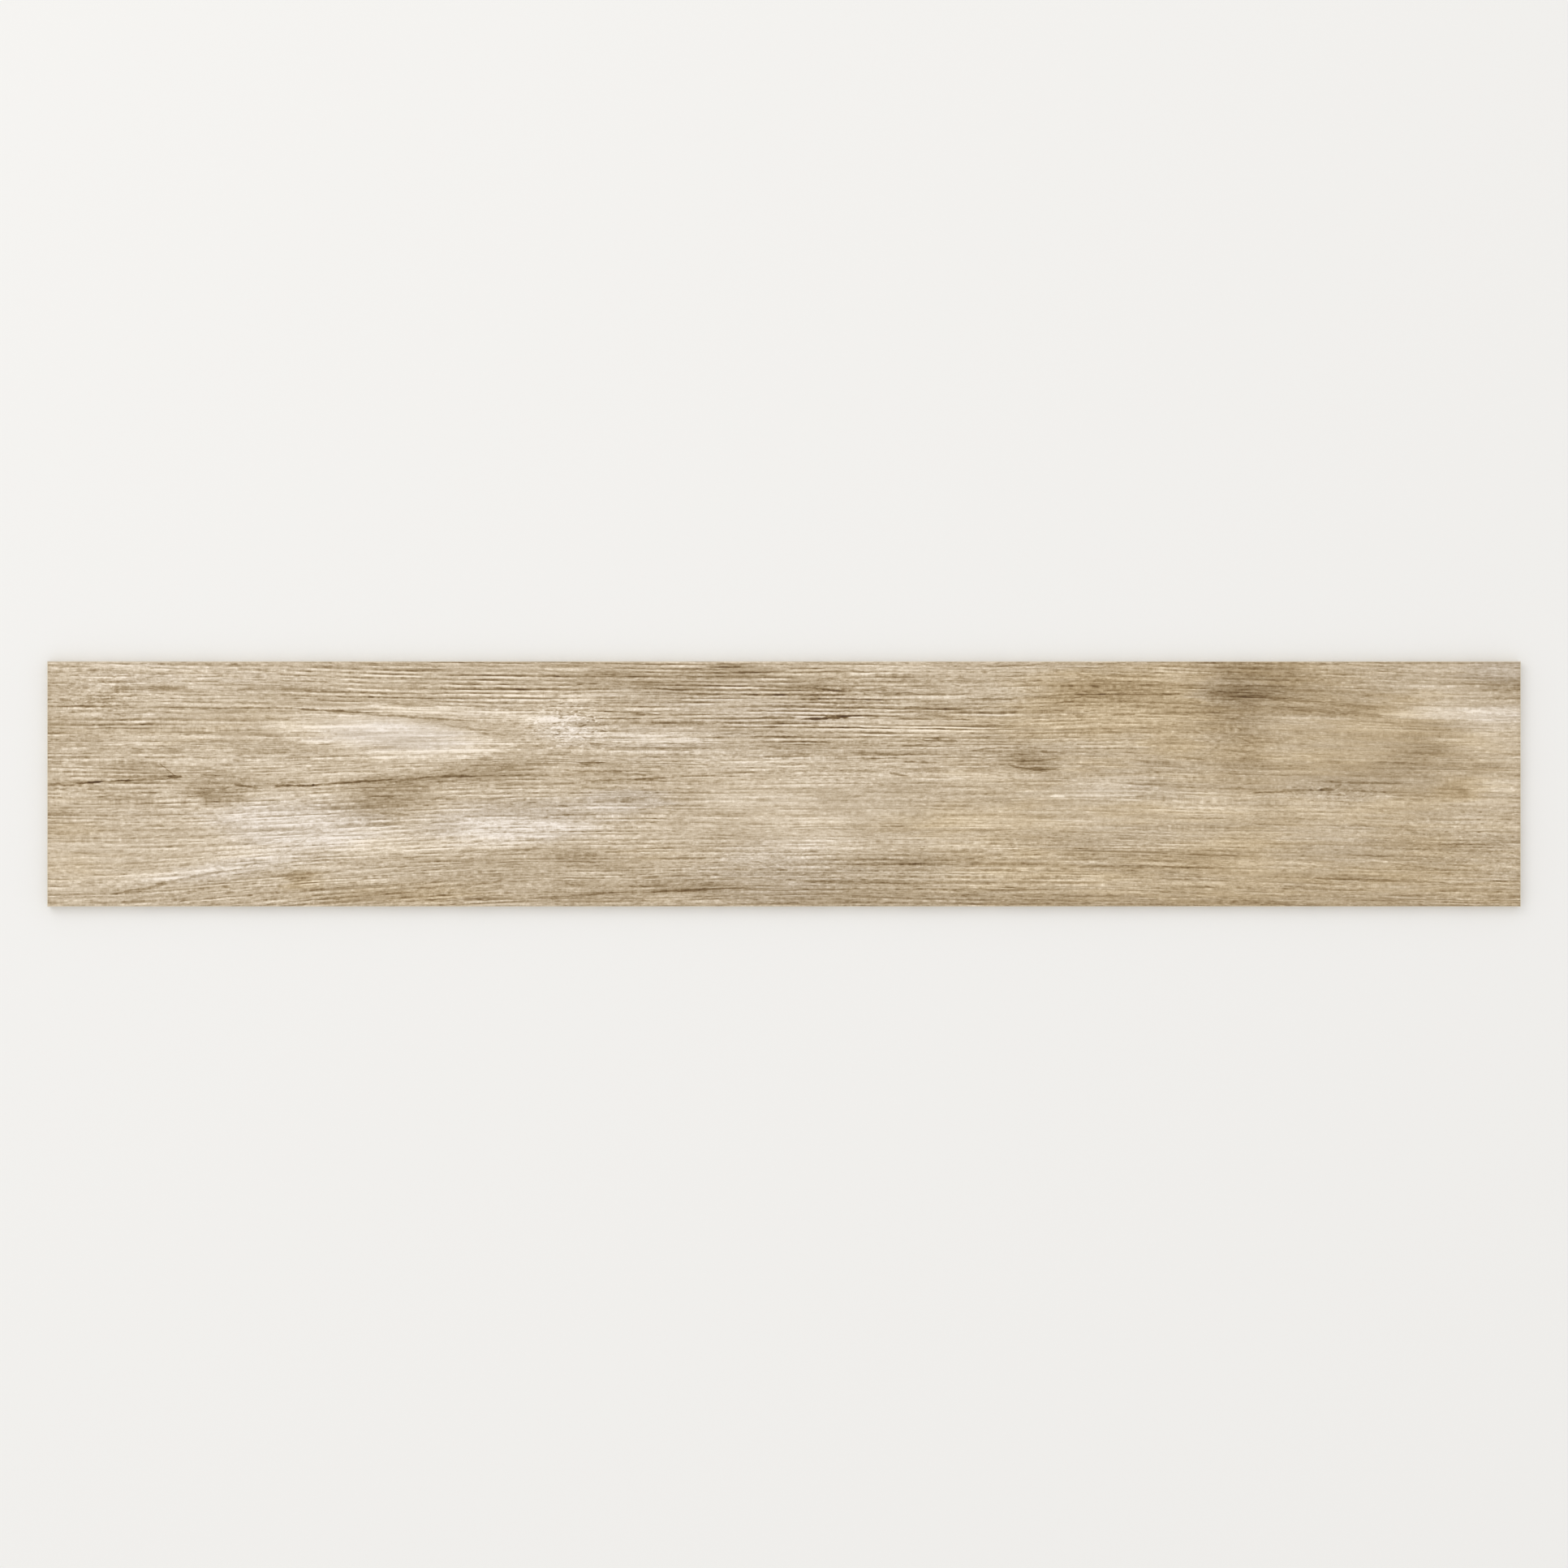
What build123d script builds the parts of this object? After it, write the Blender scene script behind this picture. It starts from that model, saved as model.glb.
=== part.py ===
from build123d import *
import os

# A wood-look porcelain floor plank, pressed and fired as one piece, lying on its keyed back.
# X runs along the grain, Y across it, and Z up from the back to the printed face, in millimetres.

# Plank
plank_length = 1200.0
plank_width = 200.0
plank_thickness = 9.0

# Edges, ground square after firing: a fine arris round the face, a wider bevel round the back
face_arris = 0.5
back_bevel = 1.0

# Keyed back: a lattice of low ribs round drafted pockets that the adhesive fills, inside a flat border
border_width = 12.0
rib_width = 3.0
pocket_pitch = 36.0
pocket_depth = 0.5
pocket_draft = 45.0

# The pockets fill the field inside the border evenly, each way at about the wanted pitch
field_length = plank_length - 2 * border_width
field_width = plank_width - 2 * border_width
pockets_along = round((field_length + rib_width) / pocket_pitch)
pockets_across = round((field_width + rib_width) / pocket_pitch)
pitch_along = (field_length + rib_width) / pockets_along
pitch_across = (field_width + rib_width) / pockets_across

os.makedirs("parts", exist_ok=True)

with BuildPart() as plank_tile:
    with BuildSketch() as outline:
        Rectangle(plank_length, plank_width)
    extrude(amount=plank_thickness)
    chamfer(plank_tile.faces().sort_by(Axis.Z)[-1].edges(), length=face_arris)
    chamfer(plank_tile.faces().sort_by(Axis.Z)[0].edges(), length=back_bevel)

    # Each pocket is widest at the back and narrows with its draft towards its floor
    with BuildSketch() as pocket_mouths:
        with GridLocations(pitch_along, pitch_across, pockets_along, pockets_across):
            Rectangle(pitch_along - rib_width, pitch_across - rib_width)
    extrude(amount=pocket_depth, taper=pocket_draft, mode=Mode.SUBTRACT)

plank_tile.part.label = "plank_tile"
export_step(plank_tile.part, "parts/plank_tile.step")
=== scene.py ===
import math
from collections import namedtuple

import bmesh
import bpy
import numpy as np
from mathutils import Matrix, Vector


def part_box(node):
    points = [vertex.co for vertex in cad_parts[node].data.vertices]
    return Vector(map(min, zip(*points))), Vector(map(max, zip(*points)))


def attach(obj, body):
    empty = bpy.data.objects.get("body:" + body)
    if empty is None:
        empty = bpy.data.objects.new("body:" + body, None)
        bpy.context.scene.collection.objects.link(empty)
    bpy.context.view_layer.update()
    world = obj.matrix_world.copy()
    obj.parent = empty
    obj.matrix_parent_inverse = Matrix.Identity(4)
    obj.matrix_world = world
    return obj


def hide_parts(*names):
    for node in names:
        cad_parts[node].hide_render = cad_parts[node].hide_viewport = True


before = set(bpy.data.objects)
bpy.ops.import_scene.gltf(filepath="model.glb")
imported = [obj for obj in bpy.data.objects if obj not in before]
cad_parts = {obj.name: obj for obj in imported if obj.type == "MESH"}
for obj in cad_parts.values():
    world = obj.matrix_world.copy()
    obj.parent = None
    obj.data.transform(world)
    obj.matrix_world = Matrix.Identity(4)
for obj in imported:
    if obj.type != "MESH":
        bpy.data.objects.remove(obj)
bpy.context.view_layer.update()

# A wood-look porcelain floor plank, seen from straight above. The printed face is a fine mesh with the
# embossed grain cut into it; the edges and the keyed back keep the shape of the solid.

NODE = "plank_tile"
MM = 0.001
LOW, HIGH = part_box(NODE)
LENGTH = HIGH.x - LOW.x
WIDTH = HIGH.y - LOW.y

# A feature of the print, laid along a line from (s0, t0) to (s1, t1). Places are millimetres: s from the
# plank's left end, t from its upper edge, as seen from above. Half is its half width in millimetres, tone
# how much paler or darker it is in steps of luminance, 0 to 255, and bow how far its middle bends down.
Mark = namedtuple("Mark", "s0 t0 s1 t1 half tone bow", defaults=[0.0])


def mark_list(rows):
    return [Mark(*row) for row in rows]


# Pale flames, pointed at both ends
FLAMES = mark_list([
    (176, 54, 280, 56, 5, 6),
    (180, 53, 376, 70, 21, 18, -1),
    (230, 70, 368, 72, 16, 7, 1),
    (262, 36, 425, 49, 6.5, 20),
    (1084, 45, 1300, 43, 11, 24),
    (46, 182, 200, 160, 9, 15, 1),
    (335, 131, 466, 135, 7, 13),
    (96, 126, 250, 123, 7, 8),
])

# Broad patches with soft, round ends
PATCHES = mark_list([
    # the plank's left part is paler, its right part and its lower edge darker
    (-160, 120, 600, 130, 90, 6),
    (740, 60, 1700, 60, 130, -9),
    (740, 175, 1700, 170, 60, -7),
    (170, 203, 1500, 199, 28, -15),
    # worn places at the left end
    (-20, 172, 62, 168, 30, 4),
    (-20, 11, 220, 11, 15, 10),
    (12, 3, 108, 3, 7, 16),
    (20, 20, 66, 20, 6, 10),
    (60, 17, 155, 18, 6, 6),
    (14, 31, 76, 30, 8, -10),
    (55, 47, 88, 47, 5, 11),
    (30, 66, 112, 69, 12, 12),
    (-30, 130, 40, 128, 13, -14),
    # round the upper flame
    (222, 30, 292, 32, 20, 8),
    (285, 40, 425, 42, 11, 12),
    (125, 66, 240, 73, 10, -4),
    # olive smudge under the upper flame, drawn out up and to the right, and the one beside it
    (230, 112, 328, 105, 27, -27),
    (272, 98, 440, 80, 15, -20),
    (212, 123, 312, 124, 8, -9),
    (100, 105, 172, 109, 14, -25),
    (110, 99, 218, 100, 7, -13),
    (-20, 112, 215, 113, 13, -5),
    (30, 88, 106, 82, 7, -18),
    # pale ground below the long check
    (78, 138, 325, 134, 31, 17),
    (270, 136, 485, 132, 17, 15),
    (-20, 140, 130, 140, 24, 4),
    (60, 112, 140, 113, 9, 7),
    (150, 112, 250, 112, 9, 7),
    (90, 164, 215, 156, 8, 7),
    (140, 158, 400, 148, 6, 8),
    (196, 146, 345, 145, 15, 7),
    (285, 146, 440, 142, 9, 14),
    (285, 151, 390, 150, 8, 8),
    (110, 184, 205, 180, 8, 9),
    (395, 112, 525, 112, 12, 4.5),
    (420, 119, 485, 120, 6, 12),
    # worn place where the upper lines run together
    (372, 48, 470, 54, 30, 13),
    (396, 31, 470, 33, 6, 14),
    (430, 62, 580, 64, 9, 16),
    (500, 82, 640, 82, 10, 11),
    # dark upper band of the middle
    (390, 12, 610, 12, 13, -4.5),
    (415, 13, 505, 12, 13, -10),
    (465, 21, 570, 20, 17, -10),
    (526, 8, 604, 8, 10, -26),
    (576, 24, 668, 27, 17, -18),
    (616, 38, 694, 38, 10, -17),
    (688, 37, 765, 40, 10, -14),
    (565, 66, 650, 70, 10, -14),
    (428, 86, 508, 93, 9, -9),
    (440, 113, 495, 112, 6, -9),
    # dry-brushed places in the middle
    (500, 104, 720, 108, 36, 8.5),
    (500, 112, 610, 112, 10, 7),
    (596, 111, 684, 111, 10, -13),
    (540, 131, 668, 131, 15, 10),
    (540, 151, 700, 150, 13, 12),
    (680, 150, 780, 150, 14, 7),
    (685, 138, 815, 138, 13, 5),
    (636, 6, 735, 8, 10, 11),
    (640, 53, 780, 58, 10, 9),
    (480, 64, 820, 62, 10, 7),
    (620, 88, 800, 90, 10, 9),
    (700, 91, 830, 97, 9, 11),
    # brown places along the lower edge
    (180, 171, 480, 153, 7, -13),
    (186, 178, 230, 176, 10, -20),
    (180, 190, 325, 188, 14, -15),
    (225, 183, 440, 172, 20, -12),
    (385, 190, 515, 190, 14, -12),
    (370, 150, 460, 147, 8, -11),
    (395, 163, 505, 163, 13, -9),
    (400, 158, 460, 160, 11, -14),
    (430, 170, 510, 170, 8, -8),
    (460, 180, 580, 185, 13, -12),
    (480, 188, 780, 184, 20, -8),
    (616, 167, 765, 164, 9, -15),
    (690, 159, 795, 160, 7, -9),
    # knot
    (764, 80, 838, 82, 14, -20),
    # brown band and grey smudge towards the right end
    (780, 1, 1020, 2, 9, -9),
    (785, 12, 930, 12, 13, -6),
    (785, 26, 965, 27, 13, -15),
    (790, 24, 940, 26, 22, -9),
    (785, 36, 855, 37, 15, -8),
    (835, 40, 985, 38, 9, -13),
    (910, 16, 1062, 22, 34, -25),
    (940, 24, 1004, 27, 14, -12),
    (900, 38, 1015, 38, 13, -6),
    (895, 48, 1015, 50, 10, -8),
    (930, 62, 1010, 62, 62, -12),
    (890, 66, 940, 66, 9, -10),
    (985, 38, 1090, 44, 7, -10),
    (1056, 84, 1178, 86, 36, -9),
    (1092, 70, 1150, 74, 14, -6),
    (1005, 102, 1120, 101, 12, -9),
    (1132, 105, 1166, 103, 9, -14),
    (1140, 18, 1240, 19, 8, -10),
    # soft brown bands below them
    (795, 149, 885, 152, 13, -8),
    (765, 152, 1005, 161, 6, -11),
    (885, 159, 1015, 160, 11, -7),
    (765, 169, 990, 170, 5, -9),
    (950, 171, 1150, 181, 5, -9),
    (1100, 155, 1215, 155, 12, -8),
    (1060, 196, 1130, 196, 9, -9),
    (1145, 197, 1230, 192, 12, -9),
    # pale places near the right end
    (842, 36, 905, 40, 8, 10),
    (896, 8, 930, 10, 9, 10),
    (1060, 24, 1215, 26, 16, 9),
    (1120, 60, 1240, 62, 14, 16),
    (1090, 92, 1270, 94, 46, 8),
    (1152, 105, 1215, 104, 9, 18),
    (815, 100, 915, 102, 15, 14),
    (885, 115, 1000, 116, 15, 15),
    (985, 116, 1090, 120, 12, 8),
    (785, 128, 890, 128, 9, 14),
    (860, 123, 1000, 122, 7, 8),
    (985, 138, 1115, 138, 14, 7),
    (1095, 132, 1215, 132, 9, 13),
    (1100, 140, 1340, 140, 60, 6),
    (808, 177, 872, 177, 5, 11),
    (940, 163, 1000, 164, 4, 10),
    (780, 191, 930, 190, 13, 5),
    (1000, 189, 1215, 191, 9, 7),
])

# Checks, pores and single grain lines, roughly from left to right; their order decides their layers
LINES = mark_list([
    (130, 10, 178, 10, 0.9, -30),
    (172, 10, 240, 10.5, 0.8, -18),
    (26, 7, 72, 8, 1.0, -16),
    (98, 20.4, 164, 21.4, 0.8, 20),
    (98, 25, 132, 25, 1.0, -22),
    (146, 28, 206, 27.4, 1.0, -15),
    (8, 32, 50, 32, 1.0, -20),
    (43, 31, 51, 31, 1.3, -40),
    (10, 37.2, 74, 36, 0.9, -32),
    (96, 37.4, 130, 38, 0.9, -16),
    (122, 39, 216, 39, 1.0, -54, -1),
    (146, 36.4, 206, 37, 0.7, 18),
    (44, 42.4, 78, 43, 1.1, -18),
    (-6, 50, 28, 49, 0.9, -16),
    (52, 48, 78, 48, 0.9, -18),
    (68, 49.4, 80, 49.4, 1.3, 26),
    (64, 52, 104, 51.4, 0.9, -20),
    (106, 60, 138, 58.4, 0.9, -28),
    (138, 57, 178, 56, 1.0, -36),
    (28, 63, 62, 62, 0.9, -16),
    (86, 62, 108, 61, 0.9, -20),
    (66, 69, 132, 70, 0.8, -12),
    (72, 82.6, 97, 82.6, 1.0, -26),
    (91, 82.6, 104, 93.6, 1.1, -52),
    (97, 93.6, 110, 94.2, 1.3, -74),
    (-8, 101.4, 29, 100.8, 1.0, -58),
    (22, 99.9, 46, 97.9, 1.1, -96),
    (38, 98.2, 104, 95.6, 1.1, -62),
    (58, 97.2, 70, 97, 1.0, -46),
    (104, 94.8, 156, 94, 1.0, -18),
    (32, 110, 74, 109.4, 0.9, -24),
    (66, 116, 118, 115.6, 0.8, -20),
    (138, 84, 153, 84, 1.1, -36),
    (126, 92.4, 137, 92.6, 1.2, -38),
    (152, 82.6, 176, 81.4, 0.8, -28),
    (165, 78, 176, 78, 1.0, -28),
    (180, 81, 264, 82.2, 0.9, -30, -0.6),
    (151, 100.4, 175, 103.6, 1.1, -56),
    (174, 99.6, 186, 99.6, 0.9, -28),
    (184, 101.6, 222, 101.2, 1.2, -88),
    (208, 101, 290, 95.8, 1.1, -76),
    (276, 98.6, 314, 94, 1.2, -34),
    (298, 95.4, 352, 93.6, 1.3, -34, -0.6),
    (330, 93.8, 349, 93.8, 1.1, -20),
    (344, 93.4, 408, 93, 1.2, -22),
    (56, 142, 104, 141.6, 0.9, -15),
    (100, 142.4, 170, 141, 0.9, -18),
    (-6, 147, 60, 147, 0.9, -15),
    (168, 140, 190, 139.4, 0.8, -18),
    (62, 166, 92, 165.4, 0.9, -22),
    (132, 167.2, 149, 166.6, 0.9, -28),
    (50, 190, 98, 180.6, 1.8, -36, 1),
    (86, 181.6, 146, 170.6, 1.5, -36),
    (138, 171.6, 206, 163, 1.3, -28),
    (189, 160, 215, 142, 0.9, -20),
    (161, 170, 176, 161, 0.8, -16),
    (196, 163.4, 256, 161.6, 1.0, -26),
    (250, 161.6, 330, 158, 0.9, -20),
    (256, 13, 306, 14, 0.9, -30),
    (296, 14, 350, 15, 0.8, -24),
    (346, 15, 376, 16.8, 1.0, -36),
    (236, 22.6, 306, 25, 1.3, 30),
    (296, 25, 412, 29, 1.3, 30),
    (320, 29.6, 414, 32, 1.0, 20),
    (226, 28.8, 336, 31, 0.9, -48, -0.4),
    (250, 29, 270, 29.2, 0.9, -30),
    (336, 20.8, 404, 23, 0.9, -32),
    (366, 16.8, 404, 17, 0.9, -26),
    (376, 23, 396, 23.6, 1.0, -34),
    (202, 39, 272, 42.4, 1.1, -70),
    (256, 43, 350, 48.8, 1.1, -50),
    (203, 43, 264, 44.6, 0.9, 28),
    (196, 45.6, 228, 45.6, 0.8, -18),
    (316, 51, 366, 57.6, 1.2, -28),
    (198, 58, 224, 58, 1.0, -36),
    (220, 68, 232, 68, 1.2, -28),
    (242, 76, 284, 77, 0.9, -18),
    (254, 79, 280, 79, 1.0, 26),
    (256, 72, 286, 75.4, 1.0, 16),
    (277, 80, 289, 80, 1.0, -30),
    (238, 88.4, 266, 84.6, 0.8, -14),
    (336, 80.6, 374, 77, 1.1, -24),
    (258, 110, 290, 110, 1.0, -24),
    (302, 112, 338, 112, 0.8, -40),
    (346, 112, 404, 112.6, 0.9, -40),
    (266, 124, 290, 125, 1.0, -20),
    (306, 139.6, 348, 139.6, 0.7, -22),
    (357, 136.4, 368, 139.6, 0.8, -32),
    (362, 139.2, 404, 139.8, 0.8, -42),
    (334, 157.4, 368, 155, 1.0, -32),
    (360, 154.6, 412, 152, 1.0, -26),
    (398, 22, 424, 22.6, 1.1, -42),
    (402, 11.2, 418, 12, 1.1, -36),
    (422, 18, 450, 18, 1.0, -32),
    (428, 11, 474, 10, 1.0, -20),
    (472, 5, 488, 5.6, 1.0, -26),
    (470, 17, 504, 17.6, 0.9, -36),
    (470, 21.6, 504, 22, 0.9, -30),
    (497, 22.2, 524, 24.4, 1.1, -48),
    (500, 26, 566, 27.2, 0.9, -34),
    (504, 6.4, 536, 7.8, 0.9, -42),
    (530, 4.4, 568, 4.6, 1.0, -42),
    (556, 9, 582, 9.4, 1.2, -34),
    (574, 21, 630, 22, 1.0, -44),
    (564, 27.6, 606, 27.4, 1.1, -52),
    (438, 14, 526, 15, 1.0, 18),
    (496, 31, 550, 31.6, 1.0, 16),
    (446, 41, 490, 41.6, 0.9, -42),
    (468, 42, 500, 43.8, 1.0, -50),
    (426, 43.6, 456, 46.6, 0.9, -24),
    (446, 47, 486, 46.6, 1.0, -52),
    (480, 46.4, 506, 46.6, 0.8, -24),
    (496, 43, 546, 43.2, 0.8, -26),
    (504, 38, 552, 38.6, 0.8, -24),
    (496, 34, 540, 34.4, 0.8, -20),
    (488, 50, 542, 50.6, 0.8, -38),
    (538, 50.6, 608, 49.2, 0.9, -46),
    (550, 51.8, 596, 51, 1.0, 34),
    (546, 54, 578, 54, 0.8, -38),
    (580, 46, 612, 46, 1.5, -50),
    (584, 53.2, 597, 53.6, 1.2, -38),
    (574, 57, 612, 57.6, 0.9, -32),
    (572, 61, 616, 61.8, 1.0, -46),
    (552, 66.8, 612, 66, 0.8, -28),
    (492, 67, 566, 67.6, 0.8, -24),
    (468, 70.4, 558, 71, 0.8, -28),
    (492, 76, 568, 76.6, 0.8, -24),
    (584, 78, 626, 78, 0.9, -30),
    (436, 60.4, 506, 61, 1.4, 22),
    (444, 64.6, 536, 65, 1.1, 16),
    (452, 73.4, 526, 74, 1.1, 16),
    (436, 62.6, 480, 62, 0.8, -20),
    (474, 61, 492, 57.4, 0.8, -28),
    (440, 67.6, 454, 68, 1.1, -38),
    (410, 75.6, 438, 76.8, 1.0, -30),
    (434, 83, 454, 82.6, 1.5, -52),
    (428, 89.4, 474, 90.2, 1.1, -42),
    (434, 98, 482, 96, 0.9, -38),
    (474, 96.6, 506, 94.8, 1.1, -58),
    (498, 95, 552, 92.4, 0.8, -34),
    (544, 92.6, 608, 88, 0.8, -28),
    (450, 113.4, 486, 113, 1.0, -14),
    (474, 113.6, 493, 109.8, 1.0, -26),
    (396, 127, 430, 127.6, 0.9, -18),
    (400, 139.2, 456, 138.4, 1.0, -30),
    (500, 120, 550, 120.2, 0.8, -18),
    (437, 154.6, 449, 160.6, 0.9, -24),
    (496, 158, 566, 156, 1.2, 16),
    (394, 193, 478, 187.6, 1.1, -36),
    (490, 188, 578, 183.6, 1.1, -38),
    (598, 5, 634, 6, 0.9, -26),
    (612, 10.6, 656, 10.4, 1.0, -42),
    (622, 21.4, 652, 25, 1.1, -52),
    (628, 14, 645, 14.8, 1.0, -36),
    (646, 13, 672, 13, 0.9, -22),
    (664, 13, 708, 13, 0.8, -38),
    (645, 22.6, 660, 22.6, 1.1, -38),
    (656, 23, 678, 23.2, 0.9, -28),
    (614, 28.2, 636, 27.4, 1.0, -46),
    (636, 27.6, 650, 27, 1.0, -44),
    (626, 25.8, 644, 25.8, 1.0, 30),
    (614, 31, 638, 31, 1.1, -56),
    (636, 30.4, 708, 32.2, 0.8, -38),
    (660, 25, 678, 25.6, 0.9, -36),
    (670, 26, 708, 26, 1.0, -42),
    (700, 27, 732, 26.4, 0.9, -32),
    (634, 35, 668, 35, 0.9, -32),
    (696, 38, 718, 38, 1.1, -46),
    (714, 39, 752, 40.2, 1.0, -42),
    (748, 30.4, 788, 31, 1.0, -46),
    (748, 37, 798, 37.6, 0.9, -36),
    (706, 43.4, 732, 44, 0.9, -38),
    (720, 47, 752, 48.2, 0.9, -36),
    (694, 47, 722, 47.6, 0.9, -36),
    (613, 47.4, 656, 45.2, 1.3, -112),
    (604, 50, 626, 50, 0.9, -36),
    (650, 46.8, 704, 47, 0.8, -26),
    (644, 42, 696, 41, 1.0, 24),
    (644, 49, 706, 49, 1.0, 26),
    (600, 52, 656, 52, 0.8, 16),
    (634, 56, 706, 56, 0.9, 16),
    (614, 54, 668, 54, 0.8, -28),
    (624, 57.6, 652, 57.6, 0.9, -36),
    (616, 62, 646, 62, 0.8, -26),
    (612, 66, 638, 66, 1.0, -46),
    (630, 66.2, 690, 67.2, 0.8, -34),
    (660, 62.4, 678, 61.2, 0.9, -26),
    (694, 69, 720, 68, 0.9, -36),
    (694, 64, 716, 64, 0.9, -30),
    (708, 64, 744, 65.2, 1.3, -58),
    (711, 72.4, 720, 69, 1.0, -30),
    (716, 53.6, 750, 57.4, 0.9, -32),
    (744, 52, 792, 52.8, 0.9, -30),
    (644, 74, 706, 76, 0.9, -26),
    (662, 80, 682, 79.4, 1.0, -40),
    (696, 82, 728, 82.6, 1.0, -46),
    (675, 86.6, 695, 86, 0.9, -36),
    (688, 87, 714, 88, 0.9, -28),
    (684, 90.8, 700, 93.2, 1.1, -48),
    (650, 95, 670, 95, 1.0, -26),
    (750, 73.4, 810, 71, 1.0, -42, -2),
    (774, 81, 812, 81.4, 1.2, -38),
    (780, 84, 824, 87.6, 1.1, -38, 2),
    (786, 75, 802, 76.2, 1.0, -36),
    (808, 74, 832, 75, 0.9, -26),
    (806, 81, 826, 79, 0.9, -28),
    (760, 91.4, 776, 92, 0.9, -28),
    (678, 134.6, 699, 134, 0.9, -36),
    (734, 138.2, 792, 137, 0.9, -22),
    (596, 152, 678, 152, 1.1, 24),
    (612, 146, 660, 146.6, 1.4, 16),
    (632, 166, 744, 165.2, 1.1, -26),
    (690, 165.2, 724, 165, 0.9, -18),
    (648, 175, 708, 175.6, 0.9, -28),
    (684, 181, 720, 181, 1.0, -36),
    (614, 179.6, 646, 179.6, 0.9, -32),
    (640, 181.4, 694, 180.4, 0.8, -22),
    (596, 174, 658, 174, 0.8, -24),
    (596, 177, 648, 177, 1.0, 18),
    (644, 186, 676, 186.6, 0.9, -28),
    (742, 185, 776, 186, 0.9, -22),
    (746, 182.8, 776, 183, 1.0, 20),
    (744, 190, 760, 190, 0.9, -28),
    (814, 20, 876, 20.6, 1.0, -26),
    (888, 19, 952, 19.6, 1.2, -24),
    (822, 27, 928, 27, 1.3, -24),
    (900, 26.4, 928, 27, 1.0, -24),
    (794, 29, 826, 29.6, 1.0, -28),
    (794, 33, 826, 33, 1.2, 18),
    (870, 32, 890, 32.6, 1.0, -30),
    (914, 33, 956, 33, 1.0, -22),
    (794, 42, 856, 43, 1.0, -28),
    (864, 43.6, 888, 43, 1.1, -38),
    (904, 42, 958, 42, 1.0, -34),
    (940, 37, 966, 37.6, 1.0, -32),
    (952, 43.8, 1066, 47, 1.2, 20),
    (950, 46.6, 972, 46.8, 0.9, -28),
    (944, 26, 970, 26, 2.0, -24),
    (960, 28, 1010, 30.4, 2.0, -16),
    (950, 20, 980, 20, 1.4, -24),
    (976, 20, 1010, 21, 1.2, -22),
    (920, 58, 952, 58, 0.9, -28),
    (920, 78, 944, 80.4, 1.0, -32),
    (966, 52, 974, 57, 1.0, -26),
    (970, 62.4, 982, 67, 1.0, -26),
    (874, 91.6, 918, 90.4, 0.9, -28),
    (852, 92, 868, 91.4, 0.9, -22),
    (888, 105.2, 902, 101.6, 0.9, -26),
    (868, 111, 906, 108.8, 0.8, -34),
    (870, 113.2, 906, 111.8, 0.9, 22),
    (818, 110, 830, 110, 1.7, 34),
    (980, 107.2, 1044, 104.6, 1.1, -48),
    (971, 110, 987, 110, 1.3, 26),
    (916, 157, 970, 158.6, 1.2, -24),
    (838, 168, 970, 169, 1.5, -22, -1),
    (836, 152, 862, 155.4, 1.0, -20),
    (992, 30, 1094, 39, 1.9, -20),
    (992, 37.6, 1102, 45, 1.9, -22),
    (1074, 5.4, 1106, 4.6, 0.9, -24, -1),
    (1066, 28, 1080, 28, 1.0, -28),
    (1146, 8.6, 1166, 11.4, 1.0, -28),
    (1146, 17.8, 1212, 20.6, 1.1, -20),
    (1174, 30, 1210, 31, 1.1, -22),
    (1112, 70.4, 1148, 69, 1.0, -22),
    (1082, 82, 1120, 83.2, 1.0, -34),
    (1160, 87, 1198, 87, 1.0, -26),
    (1028, 98, 1110, 99.8, 1.1, -36),
    (1036, 105, 1047, 104.6, 1.7, -44),
    (1048, 104, 1096, 107.4, 1.2, -20),
    (1030, 110, 1066, 110.6, 1.1, 20),
    (1058, 110, 1073, 110, 0.9, -34),
    (1080, 110, 1099, 110, 1.1, 24),
    (1132, 149, 1188, 149, 1.2, -26),
    (1174, 148, 1210, 146.4, 1.0, -24),
    (1058, 158, 1098, 159.2, 1.1, -24),
    (1062, 160.8, 1108, 165, 1.0, 20),
    (1022, 163.6, 1070, 168.6, 1.0, -26),
    (1092, 164.6, 1138, 170, 1.0, -32),
    (1134, 165, 1170, 168.6, 1.0, -22),
    (1030, 177, 1140, 180, 1.5, -28),
    (1160, 180.4, 1212, 178, 1.1, -28),
    (1002, 183, 1068, 187, 1.2, -24),
])

# Where the fine grain lines are stronger, or worn away: tone is a share of their usual strength
LINED = mark_list([
    # stronger
    (-60, 30, 160, 30, 50, 0.15),
    (60, 192, 420, 190, 22, 0.3),
    (1000, 10, 1130, 10, 18, 0.3),
    (1060, 100, 1500, 100, 140, 0.35),
    (1080, 190, 1260, 190, 20, 0.35),
    # worn away
    (-60, 155, 150, 155, 50, -0.3),
    (60, 50, 240, 50, 34, -0.25),
    (90, 138, 215, 138, 16, -0.2),
    (176, 51, 390, 66, 29, -0.8),
    (205, 190, 310, 190, 16, -0.35),
    (440, 120, 920, 122, 46, -0.42),
    (490, 112, 620, 112, 16, -0.25),
    (760, 100, 1600, 100, 190, -0.58),
    (760, 120, 940, 124, 40, -0.3),
    (790, 190, 910, 190, 16, -0.25),
])

# Where the grain lies in long, even lines, as a share of their full strength
RULED = mark_list([
    (0, 40, 270, 36, 36, 0.4),
    (150, 14, 500, 16, 42, 0.9),
    (190, 34, 340, 38, 17, 0.4),
    (280, 10, 420, 12, 16, 0.3),
    (400, 6, 700, 8, 28, 0.6),
    (430, 36, 830, 48, 46, 0.85),
    (520, 176, 780, 176, 26, 0.45),
    (600, 8, 720, 10, 18, 0.5),
    (600, 46, 870, 56, 36, 0.7),
])

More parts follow.
